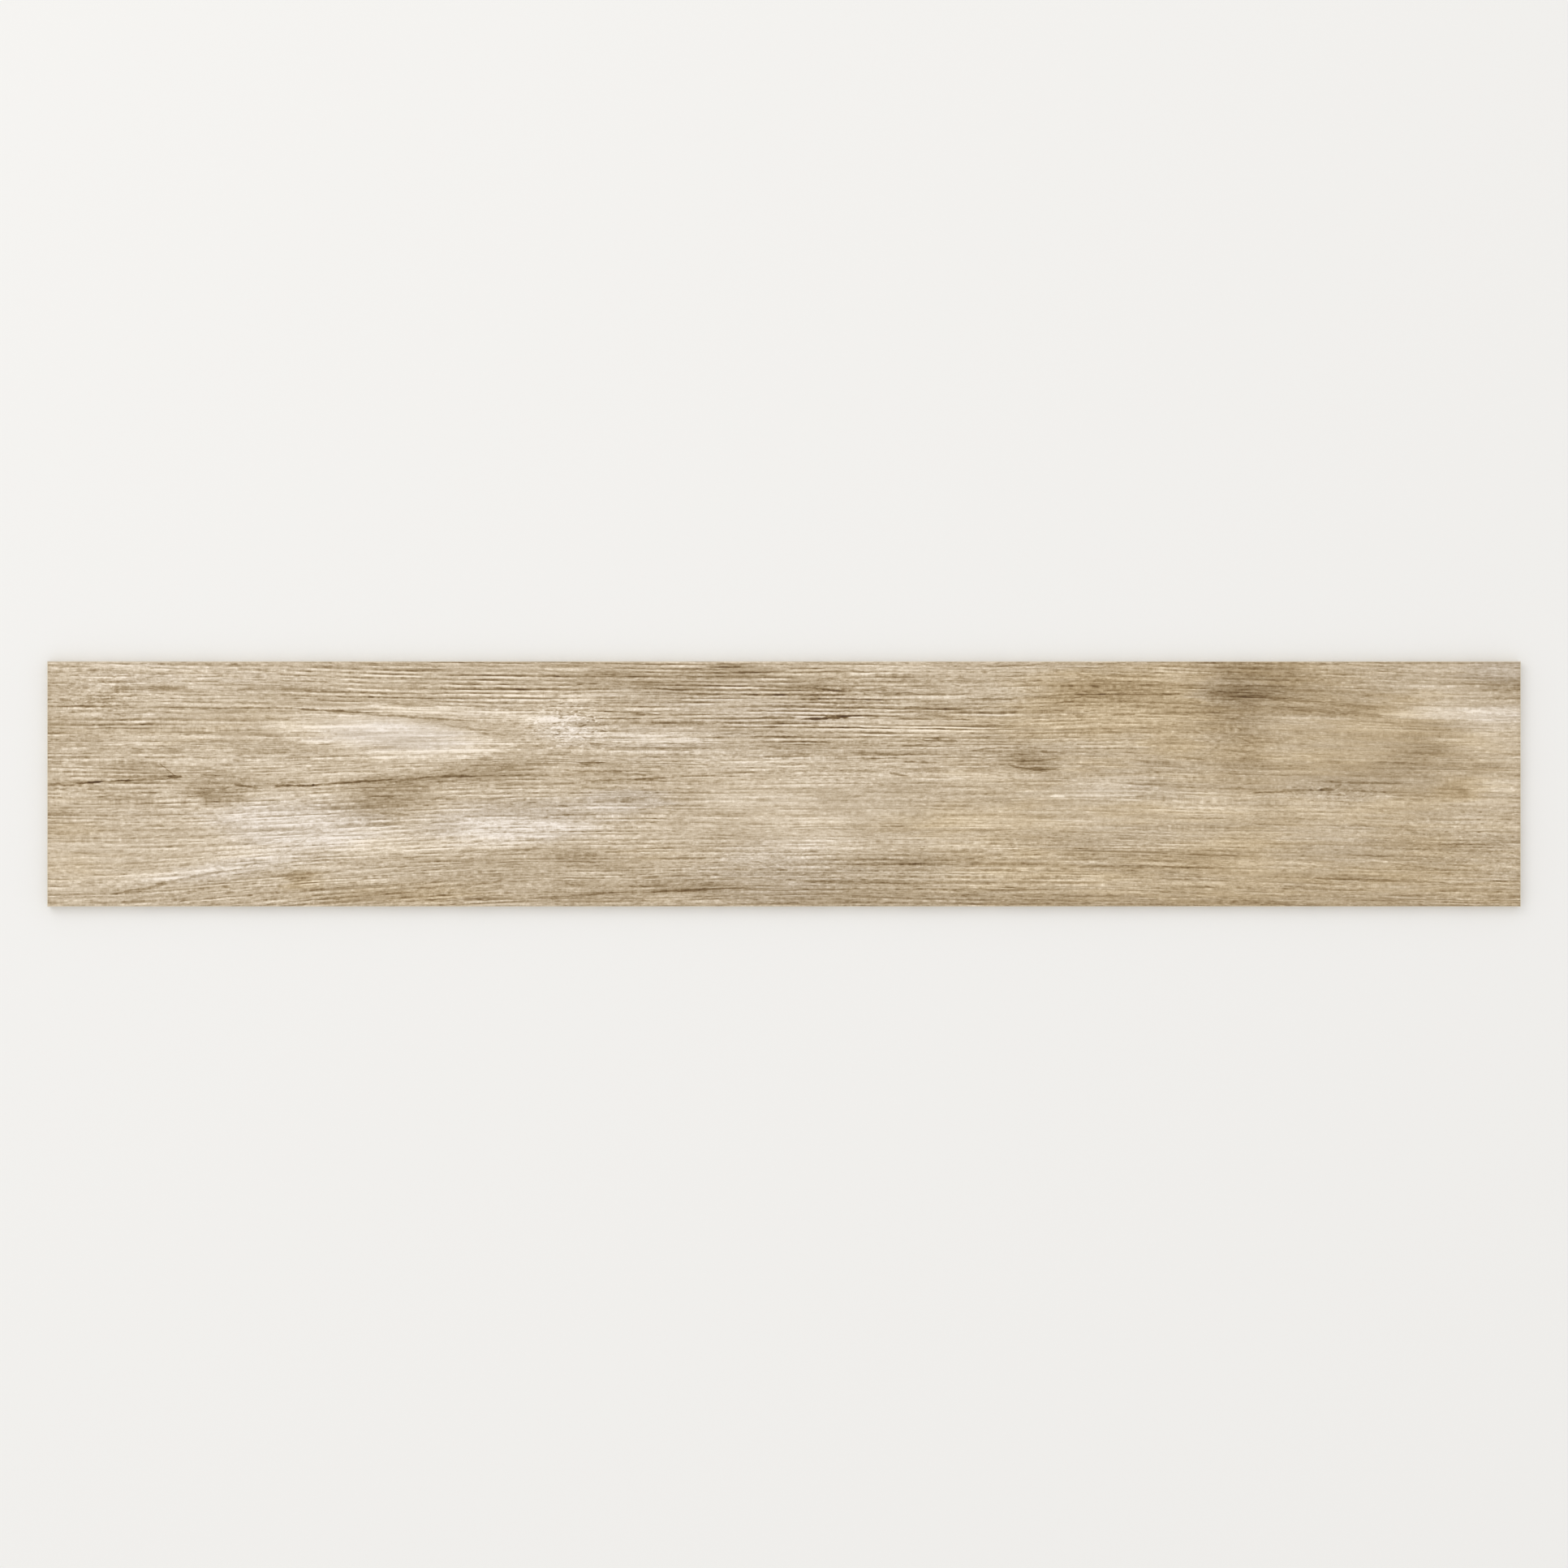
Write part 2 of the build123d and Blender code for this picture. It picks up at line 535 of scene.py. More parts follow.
# Where the grain is worn to pale and dark specks, as a share of their usual strength
WORN = mark_list([
    (-5, 24, 90, 26, 32, 1.1),
    (30, 176, 90, 182, 22, 0.5),
    (372, 50, 480, 54, 30, 2.2),
    (100, 100, 215, 104, 15, 0.6),
    (580, 26, 710, 32, 32, 0.9),
    (490, 164, 720, 168, 24, 0.7),
    (560, 92, 720, 94, 16, 0.7),
    (690, 106, 740, 108, 34, 0.5),
    (930, 60, 1005, 66, 52, 0.5),
    (985, 108, 1110, 106, 14, 0.9),
    (1060, 150, 1260, 160, 42, 0.6),
    (820, 10, 930, 36, 26, 0.4),
    (860, 140, 1260, 140, 70, 0.35),
])

# Where the print turns warm brown, or cold and grey
WARM = mark_list([
    # warm brown
    (-60, 150, 80, 160, 70, 0.5),
    (60, 30, 200, 30, 40, 0.3),
    (180, 178, 240, 176, 15, 1.0),
    (180, 190, 420, 190, 20, 0.6),
    (560, 100, 2200, 100, 420, 1.3),
    (660, 140, 860, 140, 70, 0.6),
    (690, 176, 935, 176, 38, 0.5),
    (740, 35, 980, 40, 40, 1.0),
    (775, 14, 1005, 20, 28, 0.7),
    (795, 88, 915, 88, 18, 0.6),
    (860, 170, 1080, 165, 40, 0.5),
    (880, 66, 950, 66, 15, 0.8),
    (1120, 105, 1180, 103, 15, 0.8),
    # cold and grey
    (-60, 12, 270, 14, 32, -0.5),
    (40, 184, 240, 158, 14, -1.4),
    (100, 134, 310, 128, 34, -1.9),
    (190, 54, 386, 70, 24, -1.6),
    (255, 140, 500, 124, 28, -1.5),
    (285, 38, 430, 38, 16, -0.7),
    (360, 50, 720, 50, 60, -0.6),
    (376, 50, 464, 54, 26, -0.9),
    (420, 113, 525, 112, 14, -1.8),
    (460, 180, 720, 180, 34, -0.8),
    (490, 155, 690, 154, 18, -0.8),
    (800, 101, 940, 104, 17, -1.2),
    (920, 25, 1015, 26, 18, -1.3),
    (980, 148, 1125, 148, 42, -0.6),
    (990, 8, 1320, 8, 26, -1.0),
    (990, 104, 1120, 104, 16, -1.1),
    (1050, 120, 1450, 120, 150, -1.0),
    (1056, 84, 1180, 86, 34, -0.5),
    (1080, 42, 1290, 42, 20, -2.0),
    (1120, 5, 1260, 8, 26, -1.6),
])


def smooth(x):
    """Eases from 0 to 1 as x goes from 0 to 1."""
    x = np.clip(x, 0.0, 1.0)
    return x * x * (3.0 - 2.0 * x)


def lattice_noise(u, v, seed):
    """Smooth noise from -1 to 1 with one random value at each whole number of u and v."""
    column, row = np.floor(u), np.floor(v)
    right, up = smooth(u - column), smooth(v - row)

    def corner(step_u, step_v):
        mixed = (column + step_u).astype(np.int64) * 374761393 + (row + step_v).astype(np.int64) * 668265263
        mixed = mixed + seed * 1442695041
        mixed = (mixed ^ (mixed >> 13)) * 1274126177
        return ((mixed ^ (mixed >> 16)) & 0xFFFF) / 32767.5 - 1.0

    lower = corner(0, 0) * (1.0 - right) + corner(1, 0) * right
    upper = corner(0, 1) * (1.0 - right) + corner(1, 1) * right
    return lower * (1.0 - up) + upper * up


def layered_noise(u, v, seed, layers=3):
    """Lattice noise with finer, weaker layers added."""
    return sum(lattice_noise(u * 2**k, v * 2**k, seed + k) * 0.55**k for k in range(layers))


# Flow of the grain, in millimetres: where its lines close up and where they sink, over which length, by how
# much, and how far they wander
CLOSING_START, CLOSING_RUN, CLOSING, CLOSING_SHARE = 30.0, 390.0, 9.0, 0.17
SINKING_START, SINKING_RUN, SINKING = 820.0, 380.0, 9.0
WANDER = 1.6


def grain_flow(along, down):
    """Place across the grain, in millimetres: its lines close up to the right of the flames, then sink."""
    closing = smooth((along - CLOSING_START) / CLOSING_RUN)
    sinking = smooth((along - SINKING_START) / SINKING_RUN)
    wander = WANDER * layered_noise(along / 190.0, down / 45.0, 11, 2)
    return down - closing * (CLOSING - CLOSING_SHARE * down) - SINKING * sinking + wander


def reach_and_gap(along, down, mark):
    """How far along a mark a place is, from 0 to 1 on it, and how far below its middle line."""
    reach = (along - mark.s0) / (mark.s1 - mark.s0)
    on = np.clip(reach, 0.0, 1.0)
    middle = mark.t0 + (mark.t1 - mark.t0) * on + mark.bow * 4.0 * on * (1.0 - on)
    return reach, down - middle


# Share of its half width over which a mark fades out
FLAME_FADE = 0.7
PATCH_FADE = 0.85


def flame(along, down, mark):
    """Tone of a mark that narrows to a point at both ends."""
    reach, gap = reach_and_gap(along, down, mark)
    bend = np.clip(4.0 * reach * (1.0 - reach), 0.0, 1.0)
    return mark.tone * smooth((1.0 - np.abs(gap) / (mark.half * bend**0.6 + 1e-6)) / FLAME_FADE)


def patch(along, down, mark):
    """Tone of a mark with the outline of an ellipse."""
    reach, gap = reach_and_gap(along, down, mark)
    return mark.tone * smooth((1.0 - np.hypot(2.0 * reach - 1.0, gap / mark.half)) / PATCH_FADE)


# A line is printed by the shader, so that it stays finer than the mesh: the mesh only carries how far it is
# to the line, the line's half width and its tone. Lines closer than the guard go to different layers.
LINE_LAYERS = 7
LINE_GUARD = 3.0
LINE_END_GUARD = 4.0

# What a line leaves on the mesh ends a little inside its guard, and its half width fades out before that
LINE_SLACK = 0.4
LINE_FADE_END, LINE_FADE = 1.2, 0.8


def line_layers(marks):
    """The marks, sorted into layers in which no two of them come near each other."""
    def area(m):
        side = m.half + LINE_GUARD + abs(m.bow)
        return m.s0 - LINE_END_GUARD, m.s1 + LINE_END_GUARD, min(m.t0, m.t1) - side, max(m.t0, m.t1) + side

    def apart(a, b):
        return a[1] < b[0] or b[1] < a[0] or a[3] < b[2] or b[3] < a[2]

    layers = [[] for _ in range(LINE_LAYERS)]
    for mark in marks:
        free = [layer for layer in layers if all(apart(area(mark), area(other)) for other in layer)]
        free[0].append(mark)
    return layers


def line_field(along, down, marks):
    """For each place: millimetres below the line near it, the line's half width there, and its tone."""
    field = np.zeros((len(along), 3))
    for mark in marks:
        side = mark.half + LINE_GUARD - LINE_SLACK
        near = np.flatnonzero((along > mark.s0 - LINE_END_GUARD) & (along < mark.s1 + LINE_END_GUARD))
        reach, gap = reach_and_gap(along[near], down[near], mark)
        beside = np.abs(gap) < side
        near, reach, gap = near[beside], reach[beside], gap[beside]
        bend = np.clip(4.0 * reach * (1.0 - reach), 0.0, 1.0)
        kept = smooth((side - LINE_FADE_END - np.abs(gap)) / LINE_FADE)
        field[near] = np.stack([gap, mark.half * bend**0.35 * kept, np.full(len(near), mark.tone)], 1)
    return field


# Painted shade: the face's colour is a little darker along its border, standing in for the shade at the
# arris and joint, in millimetres from its edges
BORDER_SHADE_WIDTH = 3.5
BORDER_SHADE_TONE = 9.0

# How far the outlines of flames and patches are frayed along and across the plank, in millimetres
FRAYED_ALONG, FRAYED_DOWN = 7.0, 1.3


def print_fields(along, down):
    """What the print needs to know at places on the face, in millimetres; its tone also holds the painted
    shade along the border.
    """
    across = grain_flow(along, down)
    frayed_along = along + FRAYED_ALONG * layered_noise(along / 24.0, across / 2.6, 21)
    frayed_down = down + FRAYED_DOWN * layered_noise(along / 42.0, across / 4.0, 31)
    places = frayed_along, frayed_down
    tone = sum(flame(*places, m) for m in FLAMES) + sum(patch(*places, m) for m in PATCHES)
    # Painted shade: the colour darkens towards the border of the face, standing in for the shade at the
    # arris and joint
    border = np.minimum(np.minimum(along, LENGTH / MM - along), np.minimum(down, WIDTH / MM - down))
    tone = tone - BORDER_SHADE_TONE * smooth(1.0 - border / BORDER_SHADE_WIDTH)
    return {
        "across": across,
        "tone": tone,
        "lined": 1.0 + sum(patch(*places, m) for m in LINED),
        "warm": sum(patch(*places, m) for m in WARM),
        "worn": sum(patch(*places, m) for m in WORN),
        "ruled": sum(patch(*places, m) for m in RULED),
    }


# Emboss of the face, in millimetres below its plane, and the tone of a line that is cut as deep as a check
EMBOSS_STREAK = 0.10
EMBOSS_LINE = 0.07
EMBOSS_CHECK = 0.25
FULL_CHECK = 80.0

# Cells of the face's mesh
CELLS_ALONG = 400
CELLS_ACROSS = 222


def emboss_depth(along, down, fields, layers):
    """Depth of the embossed grain below the face's plane, in millimetres."""
    streak = 0.5 + 0.5 * layered_noise(along / 85.0, fields["across"] / 6.0, 51)
    line = 0.5 + 0.5 * layered_noise(along / 34.0, fields["across"] / 2.4, 61)
    depth = EMBOSS_STREAK * streak + EMBOSS_LINE * fields["lined"] * line
    for field in layers:
        inside = smooth((field[:, 1] + 0.3 - np.abs(field[:, 0])) / 0.8) * (field[:, 1] > 0.0)
        depth += EMBOSS_CHECK * inside * np.clip(-field[:, 2] / FULL_CHECK, 0.0, 1.0)
    return np.clip(depth, 0.0, None)


class Nodes:
    """Builds one material. A number, a colour or another node's socket can go into any input."""

    def __init__(self, name):
        self.material = bpy.data.materials.new(name)
        self.material.use_nodes = True
        self.tree = self.material.node_tree
        self.tree.nodes.clear()
        self.shader = self.add("ShaderNodeBsdfPrincipled")
        output = self.add("ShaderNodeOutputMaterial")
        self.put(output.inputs["Surface"], self.shader.outputs["BSDF"])

    def put(self, socket, value):
        if isinstance(value, bpy.types.NodeSocket):
            self.tree.links.new(value, socket)
        else:
            socket.default_value = value

    def add(self, kind, inputs=None, **settings):
        made = self.tree.nodes.new(kind)
        for name, value in settings.items():
            setattr(made, name, value)
        for socket, value in (inputs or {}).items():
            self.put(made.inputs[socket], value)
        return made

    def math(self, operation, *values):
        made = self.add("ShaderNodeMath", dict(enumerate(values)), operation=operation)
        return made.outputs["Value"]

    def times(self, *values):
        result = values[0]
        for value in values[1:]:
            result = self.math("MULTIPLY", result, value)
        return result

    def total(self, *values):
        result = values[0]
        for value in values[1:]:
            result = self.math("ADD", result, value)
        return result

    def field(self, name, output="Fac"):
        return self.add("ShaderNodeAttribute", attribute_name=name).outputs[output]

    def parts(self, vector):
        return self.add("ShaderNodeSeparateXYZ", {"Vector": vector}).outputs

    def vector(self, x, y, z=0.0):
        return self.add("ShaderNodeCombineXYZ", {"X": x, "Y": y, "Z": z}).outputs["Vector"]

    def scaled(self, place, size, seed):
        """Places counted in cells of a given size, in metres, from a corner of their own."""
        steps = tuple(1.0 / s for s in size)
        shift = (seed * 17.13, seed * 9.71, seed * 5.37)
        made = self.add("ShaderNodeVectorMath", {0: place, 1: steps, 2: shift}, operation="MULTIPLY_ADD")
        return made.outputs["Vector"]

    def noise(self, place, size, seed, detail=0.0, roughness=0.5):
        """Noise about 0, mostly within 0.3 each way."""
        inputs = {"Vector": self.scaled(place, size, seed), "Scale": 1.0}
        inputs.update({"Detail": detail, "Roughness": roughness})
        made = self.add("ShaderNodeTexNoise", inputs)
        return self.math("SUBTRACT", made.outputs["Fac"], 0.5)

    def step(self, value, start, end, low=0.0, high=1.0):
        """Eases from low to high as value goes from start to end."""
        inputs = {"Value": value, "From Min": start, "From Max": end, "To Min": low, "To Max": high}
        made = self.add("ShaderNodeMapRange", inputs, interpolation_type="SMOOTHSTEP")
        return made.outputs["Result"]

    def ramp(self, value, stops):
        made = self.add("ShaderNodeValToRGB", {"Fac": value})
        elements = made.color_ramp.elements
        for position, colour in stops[1:-1]:
            elements.new(position).color = colour
        elements[0].position, elements[0].color = stops[0]
        elements[-1].position, elements[-1].color = stops[-1]
        return made.outputs["Color"]

    def mix(self, share, first, second, blend="MIX"):
        made = self.add("ShaderNodeMix", data_type="RGBA", blend_type=blend)
        for name, value in (("Factor", share), ("A", first), ("B", second)):
            socket = next(s for s in made.inputs if s.name == name and s.enabled)
            self.put(socket, value)
        return next(s for s in made.outputs if s.enabled)

    def bump(self, height, distance):
        made = self.add("ShaderNodeBump", {"Height": height, "Distance": distance, "Strength": 1.0})
        self.put(self.shader.inputs["Normal"], made.outputs["Normal"])


def srgb(red, green, blue):
    """A colour as a picture shows it, 0 to 255, made linear."""
    parts = (c / 255.0 for c in (red, green, blue))
    return (*(p / 12.92 if p <= 0.04045 else ((p + 0.055) / 1.055) ** 2.4 for p in parts), 1.0)


def print_colour(luminance):
    """The print's colours lie on one line from dark umber to cream."""
    return srgb(0.925 * luminance + 30.4, 1.008 * luminance - 3.4, 1.142 * luminance - 55.4)


# Ends of that line, as luminance from 0 to 255
DARKEST, PALEST = 40.0, 245.0


def grain_rows(m, place, pitch, seed, stray=0.012):
    """Rows along the grain that stray apart: a place's row, and how far across that row it is, 0 to 1."""
    _, across, _ = m.parts(place)
    shift = m.noise(place, (0.300, 0.009, 1.0), seed, 1.0)
    turns = m.math("MULTIPLY_ADD", across, 1.0 / pitch, m.times(shift, stray / pitch))
    return m.math("FLOOR", turns), m.math("FRACT", turns)


# Steps between rows and between seeds in the noise, so that no two of them are alike
ROW_SHIFT, ROW_STEP, SEED_STEP = 0.377, 7.31, 3.7


def row_noise(m, place, number, run, seed):
    """Noise about 0 along each row, with nothing in common between one row and the next."""
    along, _, _ = m.parts(place)
    own_start = m.math("MULTIPLY_ADD", along, 1.0 / run, m.times(number, ROW_SHIFT))
    own_place = m.vector(own_start, m.times(number, ROW_STEP), seed * SEED_STEP)
    inputs = {"Vector": own_place, "Scale": 1.0, "Detail": 3.0, "Roughness": 0.65}
    made = m.add("ShaderNodeTexNoise", inputs)
    return m.math("SUBTRACT", made.outputs["Fac"], 0.5)


def grain_lines(m, place, pitch, run, seed, stray=0.012):
    """Fine lines along the grain, from 0 to 1: dark ones, and the pale ones between them, which are pale
    grain and partly a painted highlight along the rim of each dark line.
    """
    number, part = grain_rows(m, place, pitch, seed, stray)
    strength = m.step(row_noise(m, place, number, run, seed), -0.10, 0.14)
    dark = m.times(m.step(part, 0.06, 0.26), m.step(part, 0.58, 0.42), strength)
    # Painted highlight in part: each pale line lies right beside a dark one, where the lit rim of the
    # embossed line would be
    pale = m.times(m.step(part, 0.56, 0.70), m.step(part, 1.00, 0.80), strength)
    return dark, pale


def grain_dashes(m, place, pitch, run, seed):
    """Short dashes along the grain, paler and darker, about 0."""
    number, part = grain_rows(m, place, pitch, seed)
    body = m.times(m.step(part, 0.0, 0.35), m.step(part, 1.0, 0.65))
    return m.times(row_noise(m, place, number, run, seed), body)


# A drawn line fades in from just outside its half width to its middle, in millimetres
LINE_EDGE, LINE_CORE = -0.15, 0.95
LINE_STRENGTH = 1.12


def drawn_lines(m, grain):
    """The listed lines' tone, wavering and broken up along their length."""
    waver = m.total(
        m.times(m.noise(grain, (0.014, 0.006, 1.0), 31), 0.8),
        m.times(m.noise(grain, (0.0028, 0.0016, 1.0), 32), 0.7),
    )
    fullness = m.step(m.noise(grain, (0.006, 0.003, 1.0), 33, 1.0), -0.20, 0.15, 0.70, 1.30)
    tones = []
    for layer in range(LINE_LAYERS):
        gap, half, tone = m.parts(m.field(f"lines_{layer}", "Vector"))
        room = m.math("SUBTRACT", m.times(half, fullness), m.math("ABSOLUTE", m.total(gap, waver)))
        tones.append(m.times(m.step(room, LINE_EDGE, LINE_CORE), tone, LINE_STRENGTH))
    return m.total(*tones)


def wobbled(m, grain):
    """Places on the grain, shifted a little across it."""
    wobble = m.total(
        m.times(m.noise(grain, (0.030, 0.009, 1.0), 11), 1.0 * MM),
        m.times(m.noise(grain, (0.007, 0.0030, 1.0), 12), 0.4 * MM),
    )
    inputs = {0: grain, 1: m.vector(0.0, wobble)}
    return m.add("ShaderNodeVectorMath", inputs, operation="ADD").outputs["Vector"]


def worn_specks(m, grain):
    """Tone of the pale and dark specks of a worn place."""
    pale = m.step(m.noise(grain, (0.0040, 0.0023, 1.0), 13, 1.0), 0.04, 0.18)
    dark = m.step(m.noise(grain, (0.0046, 0.0020, 1.0), 14, 1.0), 0.06, 0.20)
    return m.math("SUBTRACT", m.times(pale, PALE_SPECK), m.times(dark, DARK_SPECK))


def tinted(m, grain, place, colour):
    """The print's colour, turned warm or cold."""
    warm = m.total(
        m.field("warm"),
        m.times(m.noise(grain, (0.13, 0.022, 1.0), 21, 1.0), 1.6),
        m.times(m.noise(place, (0.03, 0.004, 1.0), 22), 0.8),
    )
    colour = m.mix(m.step(warm, 0.0, FULL_TINT), colour, WARM_TINT, "MULTIPLY")
    return m.mix(m.step(warm, 0.0, -FULL_TINT), colour, COLD_TINT, "MULTIPLY")


# Tone of the print, in steps of luminance: its ground, and how far each kind of grain goes from it. The
# pale lines are partly a painted highlight.
GROUND, BROAD, MOTTLE, STREAK, SOFT_BAND = 185.3, 48.0, 15.0, 3.0, 50.0
DARK_LINE, PALE_LINE_AND_HIGHLIGHT = -37.0, 29.0
DARK_RULED, PALE_RULED_AND_HIGHLIGHT = -76.0, 60.0
DARK_FINE, PALE_FINE_AND_HIGHLIGHT = -18.0, 15.0
PORE, FLECK, GRIT = -26.0, 12.0, 120.0
PALE_SPECK, DARK_SPECK = 24.0, 30.0

# Patches are stronger in streaks, and pale ones show as dry brushing along the pale lines
PATCH_STRENGTH, PATCH_STREAK = 1.4, 0.25
BRUSHED_MOST, BRUSHED_LINE, BRUSHED_BETWEEN = 16.0, 0.55, -0.1

# What the colour is multiplied by where the print is fully warm or cold
WARM_TINT = (1.03, 0.99, 0.88, 1.0)
COLD_TINT = (0.975, 1.0, 1.08, 1.0)
FULL_TINT = 1.6

# Shine and fine relief of the glaze
ROUGH_GLAZE, ROUGH_HOLLOW = 0.50, 0.68
GLAZE_BUMP = 0.12 * MM


def face_material():
    """Matte glaze over a printed wood grain."""
    m = Nodes("printed_glaze")
    grain = m.field("grain", "Vector")
    place = wobbled(m, grain)
    lined = m.field("lined")
    ruled = m.field("ruled")
    # The tone field holds the print's flames and patches, and the painted shade along the border
    patches_and_border_shade = m.field("tone")

    broad = m.noise(grain, (0.150, 0.012, 1.0), 1, 2.0)
    mottle = m.noise(place, (0.024, 0.0032, 1.0), 2, 2.0)
    streak = m.step(m.noise(place, (0.070, 0.0036, 1.0), 3, 1.0), -0.07, 0.09, -1.0, 1.0)
    dark_lines, pale_lines_and_highlight = grain_lines(m, place, 4.1 * MM, 0.030, 4)
    dark_fine, pale_fine_and_highlight = grain_lines(m, place, 2.3 * MM, 0.018, 5)
    dark_ruled, pale_ruled_and_highlight = grain_lines(m, place, 4.1 * MM, 0.070, 15, 0.004)
    soft_bands = m.noise(place, (0.060, 0.0065, 1.0), 6, 1.0)
    pores = m.step(m.noise(place, (0.007, 0.0011, 1.0), 7), 0.13, 0.24)
    flecks = m.step(m.noise(place, (0.0032, 0.0013, 1.0), 8), 0.15, 0.26)
    grit = m.total(
        grain_dashes(m, place, 1.5 * MM, 0.0055, 9),
        grain_dashes(m, place, 2.6 * MM, 0.0045, 10),
    )
    drawn = drawn_lines(m, grain)

    brushed = m.math("MINIMUM", m.math("MAXIMUM", patches_and_border_shade, 0.0), BRUSHED_MOST)
    usual = m.math("MULTIPLY_ADD", ruled, -0.25, lined)
    tone = m.total(
        m.times(patches_and_border_shade, m.math("MULTIPLY_ADD", streak, PATCH_STREAK, PATCH_STRENGTH)),
        m.times(brushed, m.math("MULTIPLY_ADD", pale_lines_and_highlight, BRUSHED_LINE, BRUSHED_BETWEEN)),
        drawn,
        m.math("MULTIPLY_ADD", broad, BROAD, GROUND),
        m.times(mottle, MOTTLE),
        m.times(streak, STREAK),
        m.times(soft_bands, m.math("SUBTRACT", 1.3, lined), SOFT_BAND),
        m.times(dark_lines, usual, DARK_LINE),
        m.times(pale_lines_and_highlight, usual, PALE_LINE_AND_HIGHLIGHT),
        m.times(dark_ruled, ruled, DARK_RULED),
        m.times(pale_ruled_and_highlight, ruled, PALE_RULED_AND_HIGHLIGHT),
        m.times(dark_fine, usual, DARK_FINE),
        m.times(pale_fine_and_highlight, usual, PALE_FINE_AND_HIGHLIGHT),
        m.times(pores, lined, PORE),
        m.times(flecks, FLECK),
        m.times(grit, m.math("MULTIPLY_ADD", usual, 0.55, 0.45), GRIT),
        m.times(worn_specks(m, grain), m.field("worn")),
    )
    share = m.math("DIVIDE", m.math("SUBTRACT", tone, DARKEST), PALEST - DARKEST)
    stops = [(k / 6, print_colour(DARKEST + (PALEST - DARKEST) * k / 6)) for k in range(7)]
    m.put(m.shader.inputs["Base Color"], tinted(m, grain, place, m.ramp(share, stops)))

    hollow = m.total(m.times(dark_lines, lined), m.times(pores, 0.6))
    matte = m.math("MULTIPLY_ADD", drawn, -0.015, hollow)
    m.put(m.shader.inputs["Roughness"], m.step(matte, 0.0, 1.5, ROUGH_GLAZE, ROUGH_HOLLOW))
    m.bump(m.total(m.times(hollow, -0.6), m.times(grit, 0.5)), GLAZE_BUMP)
    return m.material


PALE_CLAY = srgb(230, 223, 208)
EDGE_CLAY, EDGE_DARK = srgb(205, 194, 174), srgb(164, 150, 128)
BACK_CLAY, BACK_DARK = srgb(200, 187, 165), srgb(156, 140, 116)
ENGOBE = srgb(226, 218, 201)
KILN_WASH = srgb(228, 225, 216)

# The engobe reaches this far below the face, and the wash this far up from the ribs, each with a soft edge
ENGOBE_FULL, ENGOBE_GONE = 0.7 * MM, 1.0 * MM
WASH_FULL, WASH_GONE = 0.06 * MM, 0.30 * MM

# Size of the marks in the clay: long scratches of the grinding wheel on the edges, grains on the back
GROUND_MARKS = (0.05, 0.05, 0.0004)
FIRED_MARKS = (0.004, 0.004, 0.004)
CLAY_BUMP = 0.08 * MM


def clay_body(m, pale, dark, marks_size):
    """Unglazed porcelain: clouds, fine specks, and marks of a given size. Gives places and their colour."""
    place = m.add("ShaderNodeTexCoord").outputs["Object"]
    clouds = m.noise(place, (0.016, 0.016, 0.016), 1, 4.0, 0.6)
    specks = m.noise(place, (0.0009, 0.0009, 0.0009), 2, 1.0)
    marks = m.noise(place, marks_size, 3, 2.0)
    shade = m.total(m.times(clouds, 0.9), m.times(specks, 0.9), m.times(marks, 0.8), 0.5)
    m.put(m.shader.inputs["Roughness"], m.step(specks, -0.2, 0.2, 0.62, 0.80))
    m.bump(m.total(m.times(specks, 0.6), marks), CLAY_BUMP)
    return place, m.ramp(shade, [(0.0, dark), (0.55, pale), (1.0, PALE_CLAY)])


def edge_material():
    """Edges ground square after firing, with the pale engobe under the print showing along their top."""
    m = Nodes("ground_edge")
    place, clay = clay_body(m, EDGE_CLAY, EDGE_DARK, GROUND_MARKS)
    _, _, height = m.parts(place)
    engobe = m.step(height, HIGH.z - ENGOBE_GONE, HIGH.z - ENGOBE_FULL, 0.0, 0.85)
    m.put(m.shader.inputs["Base Color"], m.mix(engobe, clay, ENGOBE))
    return m.material


def back_material():
    """Fired back, its ribs dusted with the white wash that keeps them off the kiln's rollers."""
    m = Nodes("fired_back")
    place, clay = clay_body(m, BACK_CLAY, BACK_DARK, FIRED_MARKS)
    _, _, height = m.parts(place)
    worn = m.step(m.noise(place, (0.012, 0.006, 0.01), 4, 3.0, 0.6), -0.14, 0.10, 0.15, 0.90)
    wash = m.times(m.step(height, LOW.z + WASH_GONE, LOW.z + WASH_FULL), worn)
    m.put(m.shader.inputs["Base Color"], m.mix(wash, clay, KILN_WASH))
    return m.material


# Points closer than this are one point
CLOSE = 0.01 * MM

CORNERS = [(LOW.x, LOW.y), (HIGH.x, LOW.y), (HIGH.x, HIGH.y), (LOW.x, HIGH.y)]


def solid_levels():
    """Low and high corner of the solid's flat face, and the foot and top of its upright edges."""
    solid = np.array([v.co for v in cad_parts[NODE].data.vertices])
    face = solid[solid[:, 2] > HIGH.z - CLOSE]
    upright = solid[solid[:, 0] > HIGH.x - CLOSE]
    return face.min(0), face.max(0), upright[:, 2].min(), upright[:, 2].max()


def solid_below_edges(side_bottom):
    """Corner points and faces of the solid's back, up to the foot of its upright edges."""
    bm = bmesh.new()
    bm.from_mesh(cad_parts[NODE].data)
    bmesh.ops.remove_doubles(bm, verts=bm.verts, dist=CLOSE / 10.0)
    above = [f for f in bm.faces if min(v.co.z for v in f.verts) > side_bottom - CLOSE]
    bmesh.ops.delete(bm, geom=above, context="FACES")
    bm.verts.index_update()
    points = [tuple(v.co) for v in bm.verts]
    faces = [[v.index for v in f.verts] for f in bm.faces]
    bm.free()
    return points, faces


SHARP_ANGLE = math.radians(30.0)

# Zones of the mesh, in the order of its materials; the four edges share one material
FACE, BACK, FIRST_EDGE = 0, 1, 2

